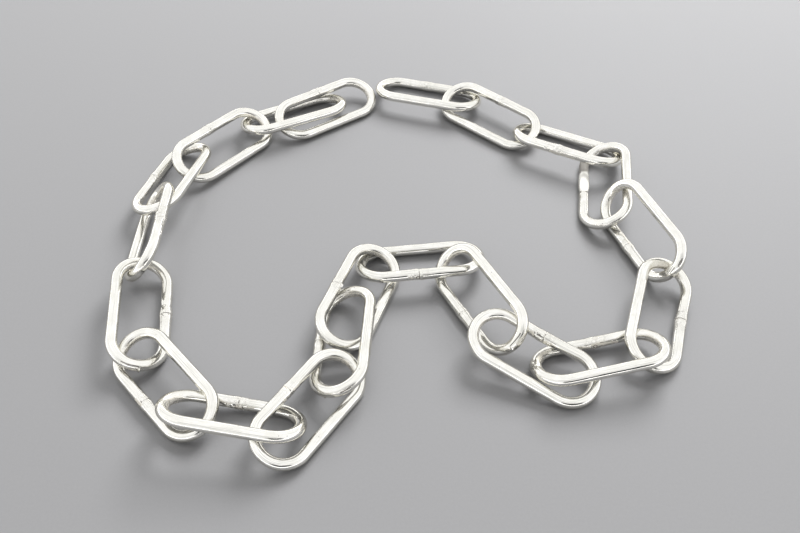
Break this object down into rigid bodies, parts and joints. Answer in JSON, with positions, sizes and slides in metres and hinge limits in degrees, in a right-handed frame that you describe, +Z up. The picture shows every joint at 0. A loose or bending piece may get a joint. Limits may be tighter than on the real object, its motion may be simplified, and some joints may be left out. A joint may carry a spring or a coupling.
{
  "type": "length of long-link steel chain",
  "caption": "Length of bright plated, welded long-link steel chain, lying loosely in one layer as an open loop with an S-bend, its two ends nearly meeting.",
  "frame": {"origin": "middle of the underside of the chain's bounding box, on the floor that the chain lies on", "axes": "+X to the right across the loop, +Y away from the S-bend towards the two free ends, +Z up"},
  "size_m": [0.2616, 0.2478, 0.0243],
  "materials": {
    "plated_steel": "bright zinc-plated round steel wire with fine drawing streaks along it, a dull brown-grey pitted weld in the middle of one leg of each link"
  },
  "bodies": {
    "root": {"chain_link_01": "plated_steel", "chain_link_02": "plated_steel", "chain_link_03": "plated_steel", "chain_link_04": "plated_steel", "chain_link_05": "plated_steel", "chain_link_06": "plated_steel", "chain_link_07": "plated_steel", "chain_link_08": "plated_steel", "chain_link_09": "plated_steel", "chain_link_10": "plated_steel", "chain_link_11": "plated_steel", "chain_link_12": "plated_steel", "chain_link_13": "plated_steel", "chain_link_14": "plated_steel", "chain_link_15": "plated_steel", "chain_link_16": "plated_steel", "chain_link_17": "plated_steel", "chain_link_18": "plated_steel", "chain_link_19": "plated_steel", "chain_link_20": "plated_steel", "chain_link_21": "plated_steel"}
  },
  "joints": []
}
